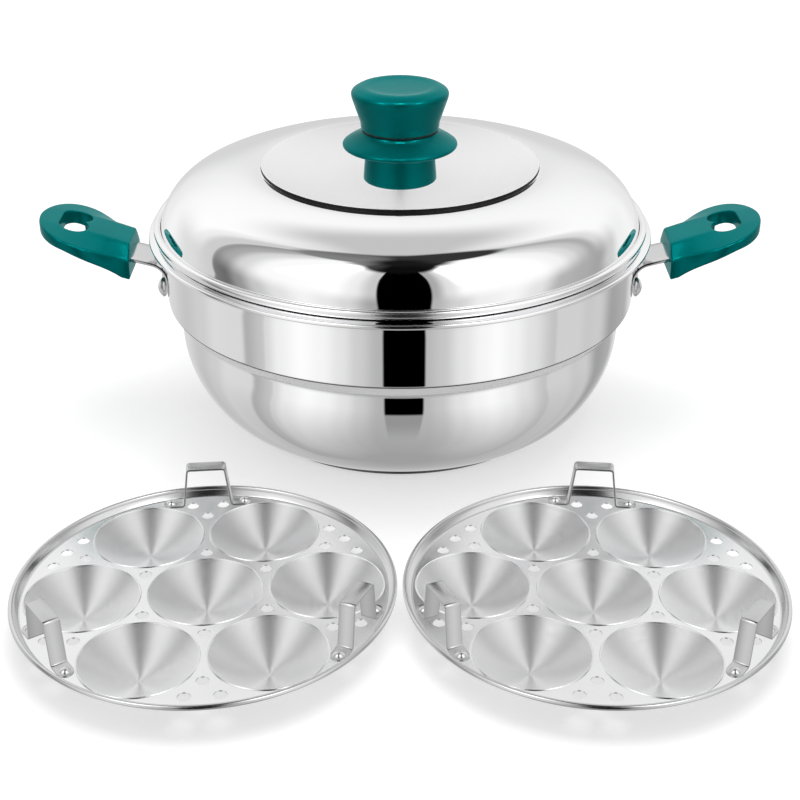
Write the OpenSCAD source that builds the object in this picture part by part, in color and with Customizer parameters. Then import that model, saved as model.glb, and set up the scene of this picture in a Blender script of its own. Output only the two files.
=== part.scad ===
// Idli steamer: a stepped bowl pot with a domed lid, two side grips and two seven-cup plates.
// Millimetres, +Z up. The origin is the centre of the pot's base on the table, the grips lie
// along X and the two plates lie in front of the pot, towards -Y.

/* [Pot] */
// Outer diameter over the rolled rim
rim_d = 280; // [274:1:288]
// Height of the rim's ledge above the table
pot_h = 113; // [110:0.5:118]
// Distance from the rim's outer edge in to the wall of the band
band_inset = 8.4; // [8:0.1:9.4]
// Height of the step between the bowl and the band
step_z = 69; // [66:0.5:72]
// Distance that the bowl stands in from the band
step_w = 6.9; // [6:0.1:8]
// Thickness of the pot's steel sheet
pot_wall = 1; // [0.8:0.1:1.2]
// Radius of the bowl's upper curve
belly_r = 66; // [60:1:72]
// Radius of the curve between the bowl and its flat bottom
heel_r = 38; // [34:1:42]
// Diameter of the base disc
base_d = 179; // [170:1:184]
// Thickness of the base disc
base_h = 3; // [2.6:0.1:4]

/* [Lid] */
// Height of the satin disc's edge above the rim's ledge
lid_h = 35.3; // [32:0.1:38]
// Diameter of the raised satin disc
disc_d = 152.4; // [140:0.2:156]
// Plan width from the disc's edge to the crown
ramp_w = 5.4; // [4:0.1:7]
// Plan width of the ramp's steep upper part
ramp_wall_w = 1; // [0.6:0.1:2]
// Height of the ramp round the disc
ramp_h = 1.9; // [1:0.1:2.5]
// Depth of the dish in the disc, from its edge to the knob's seat
dish = 10; // [3:0.1:11]
// Radius of the lid's crown
crown_r = 83; // [78:1:90]
// Radius of the lid's shoulder
shoulder_r = 31; // [28:0.5:34]
// Thickness of the lid's steel sheet
lid_wall = 0.8; // [0.6:0.1:1]

/* [Knob] */
// Height of the whole knob
knob_h = 52.3; // [48:0.1:56]
// Largest diameter of the knob's head
head_d = 53.2; // [48:0.2:56]
// Diameter of the finger guard
guard_d = 63; // [58:0.5:68]
// Diameter of the knob's foot
foot_d = 40.4; // [38:0.2:41]

/* [Side grips] */
// Length of a grip, from its pot end to its tip
grip_l = 51; // [49:0.5:56]
// Largest width of a grip
grip_w = 60.5; // [58:0.5:64]
// Width of a grip at its pot end
grip_end_w = 39; // [37:0.5:44]
// Gap from the rim's outer edge to a grip's pot end
grip_gap = 11; // [9:0.5:12]
// Height of a grip's flat top at its pot end
grip_z = 104.3; // [103:0.1:106]
// Width of the steel strap
strap_w = 26; // [24:0.5:28]
// Thickness of the steel strap
strap_t = 1.8; // [1.5:0.1:2]

/* [Idli plates] */
// Outer diameter of a plate over its rolled rim
plate_d = 178.6; // [178:0.2:182]
// Inner diameter of a cup at the plate's surface
cup_d = 53.2; // [50:0.2:53.4]
// Depth of a cup
cup_depth = 12; // [10:0.5:14]
// Distance between the centres of two neighbouring cups
cup_pitch = 56.6; // [55:0.1:56.6]
// Diameter of a steam hole
steam_d = 6; // [4:0.2:6.4]
// Thickness of the plate's steel sheet
plate_wall = 0.8; // [0.6:0.1:1]
// Height of a strap bracket above the plate's surface
bracket_h = 22; // [18:0.5:26]
// Width of a bracket's strap
bracket_w = 7.6; // [6.4:0.2:7.6]
// Distance of the plates' centres in front of the pot's axis
plate_y = 217.5; // [216:0.5:230]
// Gap between the two plates on the table
plate_gap = 2.4; // [2:0.2:10]
// Turn of each plate, which brings its rear bracket into line with the viewer
plate_turn = 5.5; // [0:0.5:12]

/* [Hidden] */
$fn = 96;

// Pot
rim_r = rim_d / 2;
rim_bead_r = 1.25;
band_r = rim_r - band_inset;
bowl_r = band_r - step_w;
band_corner_r = 4;
crease_r = 1.2;
flare_r = 3;
belly = [bowl_r - belly_r, step_z - 10.9];
heel_a = asin((belly[1] - heel_r - base_h) / (belly_r - heel_r));
heel = belly + (belly_r - heel_r) * [cos(heel_a), -sin(heel_a)];
base_cap_t = 0.8;
base_gap = 0.1;

// Lid
lid_lift = 0.3;
lid_bead_r = 2.25;
lid_bead = [rim_r - 5.2, pot_h + lid_lift + lid_bead_r];
side_r = rim_r - 6.4;
disc_r = disc_d / 2;
disc_z = pot_h + lid_h;
seat_r = 21;
seat_z = disc_z - dish;
crown = [disc_r + ramp_w, disc_z - ramp_h - crown_r];
shoulder_x = side_r - shoulder_r;
shoulder = [shoulder_x, crown[1] + sqrt(pow(crown_r - shoulder_r, 2) - pow(shoulder_x - crown[0], 2))];
shoulder_a = atan2(shoulder[1] - crown[1], shoulder[0] - crown[0]);
skirt_r = band_r - pot_wall - 0.6;
skirt_drop = 6;

// Knob and its fastening
screw_r = 2.5;
screw_fit = 0.1;
washer_r = 8;
washer_t = 1.2;
knob_screw_head_r = 4.6;
knob_screw_head_h = 3;
guard_z = seat_z + 0.3855 * knob_h;
neck_z = seat_z + 0.5467 * knob_h;
knob_top = seat_z + knob_h;

// Side grips
grip_x = rim_r + grip_gap;
strap_a = 14;
strap_z = 93.5;
strap_end_x = grip_x + 14;
strap_bend_r = 9;
rivet_y = 7.5;
rivet_z = 76.3;
rivet_r = 2;
rivet_head_r = 4.8;
rivet_head_h = 3;
grip_screw_at = 9;
hole_x = grip_x + grip_l - 19.7;
hole_lobe_r = 8;
hole_lobe_y = 6.5;

// Idli plates
plate_r = plate_d / 2;
cup_r = cup_d / 2;
cup_ball = (cup_r * cup_r + cup_depth * cup_depth) / (2 * cup_depth);
cup_flat = 0.15;
field_z = cup_depth + plate_wall - cup_flat;
ball_z = field_z - cup_depth + cup_ball;
field_r = plate_r - 4.3;
rim_rise = 3.4;
plate_bead_r = 1.2;
lip_r = 0.5;
plate_x = plate_r + plate_gap / 2;
bracket_at = plate_r - 10.7;
bracket_top = 21;
bracket_foot = 24.6;
bracket_t = 1;
bracket_rivet = 18.6;
small_rivet_r = 1.5;
inner_hole_at = cup_pitch / sqrt(3);
gap_hole_at = 66.5;
outer_hole_at = 77;

// Points along an arc about c
function arc(c, r, a0, a1, n) = [for (i = [0:n]) let (a = a0 + (a1 - a0) * i / n) c + r * [cos(a), sin(a)]];

function reversed(p) = [for (i = [len(p) - 1:-1:0]) p[i]];

// Right half of the pot's section, a distance d inside its outer surface
function pot_line(d) = concat(
    [[0, base_h + d]],
    arc(heel, heel_r - d, -90, -heel_a, 8),
    arc(belly, belly_r - d, -heel_a, 0, 7),
    arc([bowl_r + crease_r, step_z - crease_r], crease_r + d, 180, 90, 3),
    arc([band_r - band_corner_r, step_z + band_corner_r], band_corner_r - d, -90, 0, 5),
    arc([band_r + flare_r, pot_h - pot_wall - flare_r], flare_r + d, 180, 90, 4),
    [[rim_r - rim_bead_r - 0.2, pot_h - pot_wall - 0.9 + d]]
);

// Right half of the lid's section, a distance d below its outer surface
function lid_line(d) =
    let (k = (disc_r * disc_r - seat_r * seat_r + dish * dish) / (2 * dish),
         dish_r = norm([seat_r, k]), edge = disc_r - 0.5 * d)
    concat(
        [[0, seat_z - d]],
        arc([0, seat_z + k], dish_r + d, atan2(-k, seat_r), -acos(edge / (dish_r + d)), 5),
        [[disc_r + ramp_wall_w - 0.6 * d, disc_z - ramp_h - d]],
        arc(crown, crown_r - d, 90, shoulder_a, 4),
        arc(shoulder, shoulder_r - d, shoulder_a, 9, 9)
    );

// A round head: a ball's cap of radius r and height h, on the plane z = 0
module dome(r, h) {
    ball = (r * r + h * h) / (2 * h);
    intersection() {
        translate([0, 0, h - ball]) sphere(r = ball);
        cylinder(r = r + 1, h = h + 1);
    }
}

// Pot
module rivet_holes(r) {
    for (y = [-rivet_y, rivet_y], side = [0, 180])
        rotate([0, 0, side]) translate([band_r - 8, y, rivet_z]) rotate([0, 90, 0]) cylinder(r = r, h = 16);
}

module pot_body() color("silver") difference() {
    rotate_extrude() {
        polygon(concat(pot_line(0), reversed(pot_line(pot_wall))));
        translate([rim_r - rim_bead_r, pot_h - pot_wall - rim_bead_r + 0.2]) circle(r = rim_bead_r);
    }
    rivet_holes(rivet_r + 0.05);
}

module base_core() color("gainsboro")
    translate([0, 0, base_cap_t]) cylinder(r = base_d / 2 - base_cap_t - base_gap, h = base_h - base_cap_t);

module base_cap() color("darkgray") difference() {
    rotate_extrude() polygon(concat(
        [[0, 0]], arc([base_d / 2 - 1.2, 1.2], 1.2, -90, 0, 4), [[base_d / 2, base_h], [0, base_h]]));
    translate([0, 0, base_cap_t]) cylinder(r = base_d / 2 - base_cap_t, h = base_h);
}

// Side grips, modelled on the +X side
module on_side(side) {
    if (side == "right") children();
    else mirror([1, 0, 0]) children();
}

module on_strap() translate([grip_x, 0, strap_z]) rotate([0, -strap_a, 0]) children();

// Height of the strap's middle beyond its bend
function strap_mid(x) = strap_z + (x - grip_x) * tan(strap_a);

module strap_outline() {
    bend_x = band_r + strap_t + strap_bend_r;
    bend = [bend_x, strap_mid(bend_x) - (strap_bend_r + strap_t / 2) / cos(strap_a)];
    end = [strap_end_x, strap_mid(strap_end_x)];
    half_t = [0, strap_t / 2 / cos(strap_a)];
    polygon(concat(
        [[band_r - 4, rivet_z - 6.5], [band_r + strap_t, rivet_z - 6.5]],
        arc(bend, strap_bend_r, 180, 90 + strap_a, 6),
        [end - half_t, end + half_t],
        reversed(arc(bend, strap_bend_r + strap_t, 180, 90 + strap_a, 6)),
        [[band_r - 4, bend[1]]]));
}

// The strap seen along X: its lower end has rounded corners
module strap_front() {
    corner = 6;
    low = rivet_z - 6.5 + corner;
    half = strap_w / 2;
    polygon(concat(
        arc([half - corner, low], corner, -90, 0, 5), [[half, 120], [-half, 120]],
        arc([corner - half, low], corner, 180, 270, 5)));
}

module handle_bracket(side) on_side(side) color("silver") difference() {
    intersection() {
        translate([0, strap_w / 2, 0]) rotate([90, 0, 0]) linear_extrude(strap_w) strap_outline();
        rotate([90, 0, 90]) linear_extrude(strap_end_x + 1) strap_front();
    }
    cylinder(r = band_r + 0.02, h = pot_h);
    rivet_holes(rivet_r + 0.05);
    on_strap() translate([grip_screw_at, 0, -3]) cylinder(r = 2.1, h = 6);
}

module handle_rivets(side) on_side(side) color("whitesmoke") for (y = [-rivet_y, rivet_y]) {
    intersection() {
        translate([0, y, rivet_z]) rotate([0, 90, 0]) {
            translate([0, 0, band_r - 3.4]) cylinder(r1 = 2.6, r2 = 3.6, h = 1);
            translate([0, 0, band_r - 2.4]) cylinder(r = 3.6, h = 2.4);
        }
        cylinder(r = band_r - pot_wall, h = pot_h);
    }
    translate([0, y, rivet_z]) rotate([0, 90, 0]) {
        translate([0, 0, band_r - 2.5]) cylinder(r = rivet_r, h = strap_t + 3);
        translate([0, 0, band_r + strap_t]) dome(rivet_head_r, rivet_head_h);
    }
}

// Sections of the grip at t, from 0 at the pot end to 1 at the tip
grip_widest = 0.54;
function grip_half(t) = t < grip_widest
    ? (grip_end_w + (grip_w - grip_end_w) * (1 - cos(180 * t / grip_widest)) / 2) / 2
    : grip_w / 2 * sqrt(1 - pow((t - grip_widest) / (1 - grip_widest), 2));
function grip_top(t) = grip_z + 18.6 * t - 5.4 * t * t;
function grip_drop(t) = 0.4 + 8.1 * pow(1 - t, 1.4);
function grip_thick(t) = 8.2 + 11.4 * pow(1 - max(0, min(1, (t - 0.1) / 0.6)), 1.5);

// Half of a section, from the top's middle round to the underside's middle
function grip_section(t) =
    let (w = grip_half(t), top = grip_top(t), edge = top - grip_drop(t), low = top - grip_thick(t),
         flat = min(13 - 4 * t, 0.66 * w), e = min(1.4, 0.3 * w), b = min(2.6, 0.5 * w),
         rise = (top - edge) * e / (w - flat))
    [[0, top], [flat, top], [w - e, edge + rise], [w - 0.3 * e, edge - 0.3 * e], [w, edge - e],
     [w, low + b], [w - 0.29 * b, low + 0.29 * b], [w - b, low], [0, low]];

grip_ts = concat([for (i = [0:12]) i / 15], [0.845, 0.885, 0.92, 0.95, 0.975, 0.99, 0.998]);

module grip_blank() {
    rings = [for (t = grip_ts) let (h = grip_section(t), n = len(h))
        concat([for (p = h) [grip_x + grip_l * t, p[0], p[1]]],
               [for (i = [n - 2:-1:1]) [grip_x + grip_l * t, -h[i][0], h[i][1]]])];
    n = len(rings[0]);
    last = (len(rings) - 1) * n;
    points = [for (ring = rings) each ring];
    walls = [for (s = [0:len(rings) - 2], i = [0:n - 1]) let (a = s * n + i, b = s * n + (i + 1) % n)
        each [[a, b, a + n], [b, b + n, a + n]]];
    ends = [concat([0], [for (i = [n - 1:-1:1]) i]), [for (i = [0:n - 1]) last + i]];
    polyhedron(points = points, faces = concat(walls, ends));
}

module grip_hole() {
    for (y = [-hole_lobe_y, hole_lobe_y])
        translate([hole_x, y, grip_z - 20]) cylinder(r = hole_lobe_r, h = 60);
    translate([hole_x + 1, -hole_lobe_y - 0.1, grip_z - 20])
        cube([hole_lobe_r - 1.1, 2 * hole_lobe_y + 0.2, 60]);
}

module handle_grip(side) on_side(side) color("teal") difference() {
    grip_blank();
    grip_hole();
    on_strap() {
        translate([-6, -strap_w / 2 - 0.1, -strap_t / 2 - 0.1])
            cube([6.6 + (strap_end_x - grip_x) / cos(strap_a), strap_w + 0.2, strap_t + 0.2]);
        translate([grip_screw_at, 0, 0]) cylinder(r = 1.95, h = 8.2);
        translate([grip_screw_at, 0, -20]) cylinder(r = 3.6, h = 20);
    }
}

module handle_screw(side) on_side(side) color("lightgray") on_strap() translate([grip_screw_at, 0, 0]) {
    translate([0, 0, -strap_t / 2 - 0.6]) cylinder(r = 1.9, h = 9);
    translate([0, 0, -strap_t / 2]) mirror([0, 0, 1]) dome(3.3, 2);
}

// Lid
module lid_dome() color("silver") difference() {
    union() {
        rotate_extrude() polygon(concat(
            lid_line(0), [lid_bead + [0.5, 0.2], lid_bead + [0.3, -0.5]], reversed(lid_line(lid_wall))));
        rotate_extrude() translate(lid_bead) circle(r = lid_bead_r);
        rotate_extrude() polygon([[skirt_r - lid_wall, pot_h - skirt_drop], [skirt_r, pot_h - skirt_drop],
            [skirt_r, pot_h + lid_lift + 0.2], [lid_bead[0], pot_h + lid_lift + 0.2],
            [lid_bead[0], pot_h + lid_lift + 1.2], [skirt_r - lid_wall, pot_h + lid_lift + 1.2]]);
    }
    translate([0, 0, seat_z - 5]) cylinder(r = screw_r + screw_fit, h = 10);
}

module knob_collar() color("teal") difference() {
    rotate_extrude() polygon(concat(
        [[0, seat_z]], arc([foot_d / 2 - 0.8, seat_z + 0.8], 0.8, -90, 0, 3),
        [[foot_d / 2 - 0.9, guard_z - 4.4]],
        arc([foot_d / 2 + 0.9, guard_z - 4.4], 1.8, 180, 100, 3),
        [[guard_d / 2 - 2, guard_z - 1.4]],
        arc([guard_d / 2 - 1.2, guard_z - 0.2], 1.2, -70, 60, 5),
        [[foot_d / 2 + 1.4, neck_z - 0.4], [foot_d / 2 - 1, neck_z], [0, neck_z]]));
    translate([0, 0, seat_z - 1]) cylinder(r = screw_r + screw_fit, h = neck_z - seat_z + 2);
}

module knob_head() color("teal") difference() {
    rotate_extrude() polygon(concat(
        [[0, neck_z]], arc([head_d * 0.385 - 0.4, neck_z + 0.6], 0.6, -90, 0, 2),
        [[head_d * 0.385 + 0.4, neck_z + 3.2]],
        arc([head_d / 2 - 3.2, knob_top - 5.6], 3.2, -15, 50, 5),
        arc([head_d / 2 - 6.2, knob_top - 6.2], 6.2, 62, 90, 4),
        [[head_d / 2 - 9.4, knob_top - 0.4], [head_d / 2 - 12.5, knob_top - 1.1], [8, knob_top - 1.5],
            [0, knob_top - 1.5]]));
    translate([0, 0, neck_z - 1]) cylinder(r = screw_r + screw_fit, h = 15);
}

module knob_washer() color("lightgray") translate([0, 0, seat_z - lid_wall - washer_t]) difference() {
    cylinder(r = washer_r, h = washer_t);
    translate([0, 0, -1]) cylinder(r = screw_r + screw_fit, h = washer_t + 2);
}

module knob_screw() color("lightgray") translate([0, 0, seat_z - lid_wall - washer_t]) {
    cylinder(r = screw_r, h = neck_z - seat_z + 12);
    mirror([0, 0, 1]) dome(knob_screw_head_r, knob_screw_head_h);
}

// Idli plates, modelled about their own centre with the rear bracket at 90 degrees
module at_plate(side) {
    s = side == "right" ? 1 : -1;
    translate([s * plate_x, -plate_y, 0]) rotate([0, 0, -s * plate_turn]) children();
}

cup_centres = concat([[0, 0]], [for (i = [0:5]) cup_pitch * [cos(60 * i), sin(60 * i)]]);

function polar(r, a) = r * [cos(a), sin(a)];
bracket_angles = [90, 210, 330];
paired_gaps = [90, 210, 330, 270];
wide_gaps = [30, 150];
steam_holes = concat(
    [for (i = [0:5]) polar(inner_hole_at, 30 + 60 * i)],
    [for (i = [0:5]) polar(gap_hole_at, 30 + 60 * i)],
    [for (a = paired_gaps, d = [-5.7, 5.7]) polar(outer_hole_at, a + d)],
    [for (a = wide_gaps, d = [-9, 0, 9]) polar(outer_hole_at + 0.6, a + d)]);
rivet_places = [for (a = bracket_angles, d = [-bracket_rivet, bracket_rivet])
    polar(bracket_at, a) + polar(d, a + 90)];

module plate_profile() {
    polygon([
        [0, field_z - plate_wall], [field_r, field_z - plate_wall],
        [plate_r - plate_bead_r + 0.3, field_z + rim_rise - 0.6],
        [plate_r - plate_bead_r - 0.6, field_z + rim_rise],
        [field_r - 0.3, field_z], [0, field_z]]);
    translate([plate_r - plate_bead_r, field_z + rim_rise - 0.2]) circle(r = plate_bead_r, $fn = 32);
}

module cup_shell() {
    intersection() {
        translate([0, 0, ball_z]) sphere(r = cup_ball + plate_wall);
        cylinder(r = cup_r + 2, h = field_z);
    }
    rotate_extrude() translate([cup_r + 0.1, field_z]) circle(r = lip_r, $fn = 24);
}

module cup_hollow() rotate_extrude() intersection() {
    translate([0, ball_z]) circle(r = cup_ball);
    square([cup_r, field_z + 1.5]);
}

module idli_plate(side) color("gainsboro") at_plate(side) difference() {
    union() {
        rotate_extrude() plate_profile();
        for (c = cup_centres) translate(c) cup_shell();
    }
    for (c = cup_centres) translate(c) cup_hollow();
    for (c = steam_holes) translate([c[0], c[1], field_z - 3]) cylinder(d = steam_d, h = 6);
    for (c = rivet_places) translate([c[0], c[1], field_z - 3]) cylinder(r = small_rivet_r + 0.05, h = 6);
}

// The bracket's arch, a distance d inside its outer face
function arch_line(d) =
    let (r = 2.4, lean = atan((bracket_foot - bracket_top) / 2 / bracket_h), x = bracket_top / 2 - r,
         foot = bracket_foot / 2 - d / cos(lean))
    concat([[-foot, 0]],
        arc([-x, bracket_h - r], r - d, 180 - lean, 90, 4),
        arc([x, bracket_h - r], r - d, 90, lean, 4),
        [[foot, 0]]);

module bracket_arch() difference() {
    polygon(arch_line(0));
    translate([0, -0.01]) polygon(arch_line(bracket_t));
}

module plate_bracket(side, angle) color("silver") at_plate(side)
    rotate([0, 0, angle]) translate([bracket_at, 0, field_z]) difference() {
        union() {
            translate([-bracket_w / 2, 0, 0]) rotate([90, 0, 90]) linear_extrude(bracket_w) bracket_arch();
            for (s = [-1, 1]) {
                translate([-bracket_w / 2, s > 0 ? bracket_foot / 2 - bracket_t : -bracket_rivet, 0])
                    cube([bracket_w, bracket_rivet - bracket_foot / 2 + bracket_t, bracket_t]);
                translate([0, s * bracket_rivet, 0]) cylinder(d = bracket_w, h = bracket_t);
            }
        }
        for (s = [-1, 1]) translate([0, s * bracket_rivet, -1])
            cylinder(r = small_rivet_r + 0.05, h = bracket_t + 2);
    }

module plate_rivets(side) color("whitesmoke") at_plate(side) for (c = rivet_places)
    translate([c[0], c[1], field_z]) {
        translate([0, 0, -plate_wall - 0.8]) cylinder(r1 = 2, r2 = 2.5, h = 0.8);
        translate([0, 0, -plate_wall]) cylinder(r = small_rivet_r, h = plate_wall + bracket_t);
        translate([0, 0, bracket_t]) dome(2.6, 1.5);
    }

pot_body();
base_core();
base_cap();
handle_bracket("left");  // left_handle_bracket
handle_bracket("right");  // right_handle_bracket
handle_rivets("left");  // left_handle_rivets
handle_rivets("right");  // right_handle_rivets
handle_grip("left");  // left_handle_grip
handle_grip("right");  // right_handle_grip
handle_screw("left");  // left_handle_screw
handle_screw("right");  // right_handle_screw
lid_dome();
knob_collar();
knob_head();
knob_washer();
knob_screw();
idli_plate("left");  // left_idli_plate
plate_bracket("left", 90);  // left_plate_rear_bracket
plate_bracket("left", 210);  // left_plate_left_bracket
plate_bracket("left", 330);  // left_plate_right_bracket
plate_rivets("left");  // left_plate_rivets
idli_plate("right");  // right_idli_plate
plate_bracket("right", 90);  // right_plate_rear_bracket
plate_bracket("right", 210);  // right_plate_left_bracket
plate_bracket("right", 330);  // right_plate_right_bracket
plate_rivets("right");  // right_plate_rivets
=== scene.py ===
from math import asin, atan2, cos, degrees, hypot, pi, radians, sin, sqrt, tan

import bmesh
import bpy
from bpy.props import FloatProperty, FloatVectorProperty, PointerProperty
from bpy.types import Operator, Panel, PropertyGroup
from mathutils import Matrix, Vector


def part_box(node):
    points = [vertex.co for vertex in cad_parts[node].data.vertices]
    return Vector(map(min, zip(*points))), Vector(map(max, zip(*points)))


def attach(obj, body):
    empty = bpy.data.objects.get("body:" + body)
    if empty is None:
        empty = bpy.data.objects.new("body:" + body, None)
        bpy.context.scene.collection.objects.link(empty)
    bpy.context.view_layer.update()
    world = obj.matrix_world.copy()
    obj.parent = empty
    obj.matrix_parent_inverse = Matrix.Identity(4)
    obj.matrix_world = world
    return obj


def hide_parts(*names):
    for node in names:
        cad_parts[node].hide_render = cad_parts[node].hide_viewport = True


bl_info = {
    "name": "Idli Steamer",
    "version": (1, 0, 0),
    "blender": (4, 5, 0),
    "location": "View3D > Sidebar > Steamer",
    "description": "Dresses a stepped steamer pot, its lid and its two idli plates",
    "category": "Object",
}

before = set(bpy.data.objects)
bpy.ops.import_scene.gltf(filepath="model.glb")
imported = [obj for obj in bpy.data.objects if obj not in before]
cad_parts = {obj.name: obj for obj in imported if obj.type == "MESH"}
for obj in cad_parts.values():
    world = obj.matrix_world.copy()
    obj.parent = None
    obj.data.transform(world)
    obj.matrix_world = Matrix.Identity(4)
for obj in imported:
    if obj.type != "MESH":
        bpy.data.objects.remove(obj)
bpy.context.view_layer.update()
MM = 0.001


def box_mm(node):
    """The two corners of a solid's box, in millimetres"""
    return [[v / MM for v in corner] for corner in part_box(node)]


# Pot, lid and knob, in millimetres
POT_WALL = 1.0
LID_WALL = 0.8
BASE_H = 3.0
BAND_INSET = 8.4
BOWL_INSET = 15.3
LEDGE_INSET = 5.4
KNOB_SEAT = box_mm("knob_collar")[0][2]
KNOB_NECK = box_mm("knob_collar")[1][2]
KNOB_TOP = box_mm("knob_head")[1][2]

# Grips on the +X side and their straps, in millimetres
GRIP_X = box_mm("right_handle_grip")[0][0]
GRIP_L = box_mm("right_handle_grip")[1][0] - GRIP_X
GRIP_Z = 104.3
GRIP_ROOT_HALF = 19.5
GRIP_WIDEST_HALF = 30.25
GRIP_WIDEST_AT = 0.54
HOLE_X = GRIP_X + GRIP_L - 19.7
STRAP_THICK = 1.8
STRAP_HALF = 13.0
STRAP_TILT = radians(14)
STRAP_ENTRY_Z = 93.5
STRAP_RIVET_Y = 7.5
STRAP_RIVET_Z = 76.3

# Idli plates and their brackets, in millimetres and degrees
PLATE_R = 89.3
PLATE_GAP = 2.4
PLATE_Y = -217.5
PLATE_TURN = 5.5
PLATE_WALL = 0.8
FIELD_Z = 12.65
CUP_PITCH = 56.6
BRACKETS = (("rear", 90), ("left", 210), ("right", 330))
BRACKET_R = PLATE_R - 10.7
BRACKET_THICK = 1.0
TAB_X = 18.6
TAB_R = 3.8


class SteamerSizes(PropertyGroup):
    """Sizes in millimetres, as the solids have them; the cups end 0.2 mm higher, clear of the floor"""

    rim_d: FloatProperty(
        name="Rim diameter", description="Outer diameter over the pot's rolled rim",
        default=280.0, min=270, max=290)
    pot_h: FloatProperty(
        name="Pot height", description="Height of the rim's ledge above the table",
        default=113.0, min=108, max=118)
    step_z: FloatProperty(
        name="Step height", description="Height of the step between bowl and band",
        default=69.0, min=60, max=75)
    disc_d: FloatProperty(
        name="Disc diameter", description="Diameter of the lid's raised satin disc",
        default=152.4, min=140, max=160)
    knob_d: FloatProperty(
        name="Knob diameter", description="Largest diameter of the knob's head",
        default=53.2, min=48, max=58)
    cup_d: FloatProperty(
        name="Cup diameter", description="Inner diameter of an idli cup at the plate's surface",
        default=53.2, min=48, max=54)
    cup_depth: FloatProperty(
        name="Cup depth", description="Depth of an idli cup",
        default=11.8, min=10, max=14)


class SteamerFinish(PropertyGroup):
    """Colours and finishes that a user would change"""

    steel: FloatVectorProperty(
        name="Steel", description="Tint of the polished steel",
        subtype="COLOR", size=3, default=(0.90, 0.90, 0.905), min=0, max=1)
    polish: FloatProperty(
        name="Polish", description="Roughness of the mirror-polished steel",
        subtype="FACTOR", default=0.014, min=0, max=1)
    satin: FloatProperty(
        name="Satin", description="Roughness of the spun satin steel",
        subtype="FACTOR", default=0.36, min=0, max=1)
    teal: FloatVectorProperty(
        name="Teal", description="Colour of the moulded grips and knob",
        subtype="COLOR", size=3, default=(0.0, 0.166, 0.165), min=0, max=1)
    base: FloatVectorProperty(
        name="Base steel", description="Colour of the base disc",
        subtype="COLOR", size=3, default=(0.13, 0.13, 0.134), min=0, max=1)


def settings(context):
    return context.scene.steamer_sizes, context.scene.steamer_finish


# Shader nodes

def add_node(tree, kind, **choices):
    node = tree.nodes.new("ShaderNode" + kind)
    for name, value in choices.items():
        setattr(node, name, value)
    return node


def plug(tree, socket, value):
    """Links a socket to another, or sets it to a constant"""
    if isinstance(value, bpy.types.NodeSocket):
        tree.links.new(value, socket)
    else:
        socket.default_value = value


def math_node(tree, operation, *values):
    node = add_node(tree, "Math", operation=operation)
    for socket, value in zip(node.inputs, values):
        plug(tree, socket, value)
    return node.outputs[0]


def linear_step(tree, value, low, high, at_low=0.0, at_high=1.0, kind="LINEAR"):
    step = add_node(tree, "MapRange", interpolation_type=kind)
    for name, number in (("From Min", low), ("From Max", high), ("To Min", at_low), ("To Max", at_high)):
        step.inputs[name].default_value = number
    tree.links.new(value, step.inputs["Value"])
    return step.outputs["Result"]


def soft_step(tree, value, low, high, at_low=0.0, at_high=1.0):
    return linear_step(tree, value, low, high, at_low, at_high, "SMOOTHSTEP")


def mix_colours(tree, factor, first, second):
    mix = add_node(tree, "Mix", data_type="RGBA")
    for name, value in (("Factor", factor), ("A", first), ("B", second)):
        plug(tree, mix.inputs[name], value)
    return mix.outputs["Result"]


def length_of(tree, vector):
    """Distance of a place from the origin"""
    length = add_node(tree, "VectorMath", operation="LENGTH")
    tree.links.new(vector, length.inputs[0])
    return length.outputs["Value"]


def joined(tree, *values):
    join = add_node(tree, "CombineXYZ")
    for socket, value in zip(join.inputs, values):
        tree.links.new(value, socket)
    return join.outputs[0]


def object_place(tree):
    return add_node(tree, "TexCoord").outputs["Object"]


def ring_place(tree, radial, turns, centre):
    """A place measured outwards and round a vertical axis, for spun and polished steel"""
    move = add_node(tree, "Mapping")
    move.inputs["Location"].default_value = [-c for c in centre]
    tree.links.new(object_place(tree), move.inputs["Vector"])
    split = add_node(tree, "SeparateXYZ")
    tree.links.new(move.outputs["Vector"], split.inputs[0])
    x, y, z = split.outputs
    out = length_of(tree, joined(tree, x, y))
    angle = math_node(tree, "ARCTAN2", y, x)
    return joined(tree, *(math_node(tree, "MULTIPLY", value, factor)
                          for value, factor in ((out, radial), (angle, turns), (z, radial))))


def noise(tree, place, scale, detail=2.0):
    cloud = add_node(tree, "TexNoise")
    cloud.inputs["Scale"].default_value = scale
    cloud.inputs["Detail"].default_value = detail
    tree.links.new(place, cloud.inputs["Vector"])
    return cloud.outputs["Fac"]


def spread(tree, cloud, low, high):
    """Stretches the middle of a noise to run from low to high"""
    return linear_step(tree, cloud, 0.3, 0.7, low, high)


def add_bump(tree, shader, height, strength):
    bump = add_node(tree, "Bump")
    bump.inputs["Strength"].default_value = strength
    bump.inputs["Distance"].default_value = 0.00002
    tree.links.new(height, bump.inputs["Height"])
    tree.links.new(bump.outputs["Normal"], shader.inputs["Normal"])


# Materials

def shade(colour, factor=1.0):
    """A colour made darker or lighter, with its alpha"""
    return [c * factor for c in colour] + [1.0]


def new_material(name, metallic=1.0):
    mat = bpy.data.materials.new(name)
    mat.use_nodes = True
    shader = mat.node_tree.nodes["Principled BSDF"]
    shader.inputs["Metallic"].default_value = metallic
    return mat, mat.node_tree, shader


def mirror_steel(finish, name, rough=1.0, tint=1.0):
    """Polished steel with faint rings round the pot's axis"""
    mat, tree, shader = new_material(name)
    shader.inputs["Base Color"].default_value = shade(finish.steel, tint)
    rings = noise(tree, ring_place(tree, 900.0, 1.2, (0, 0, 0)), 1.0)
    polish = finish.polish * rough
    plug(tree, shader.inputs["Roughness"], spread(tree, rings, polish * 0.8, polish * 1.35))
    return mat


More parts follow.
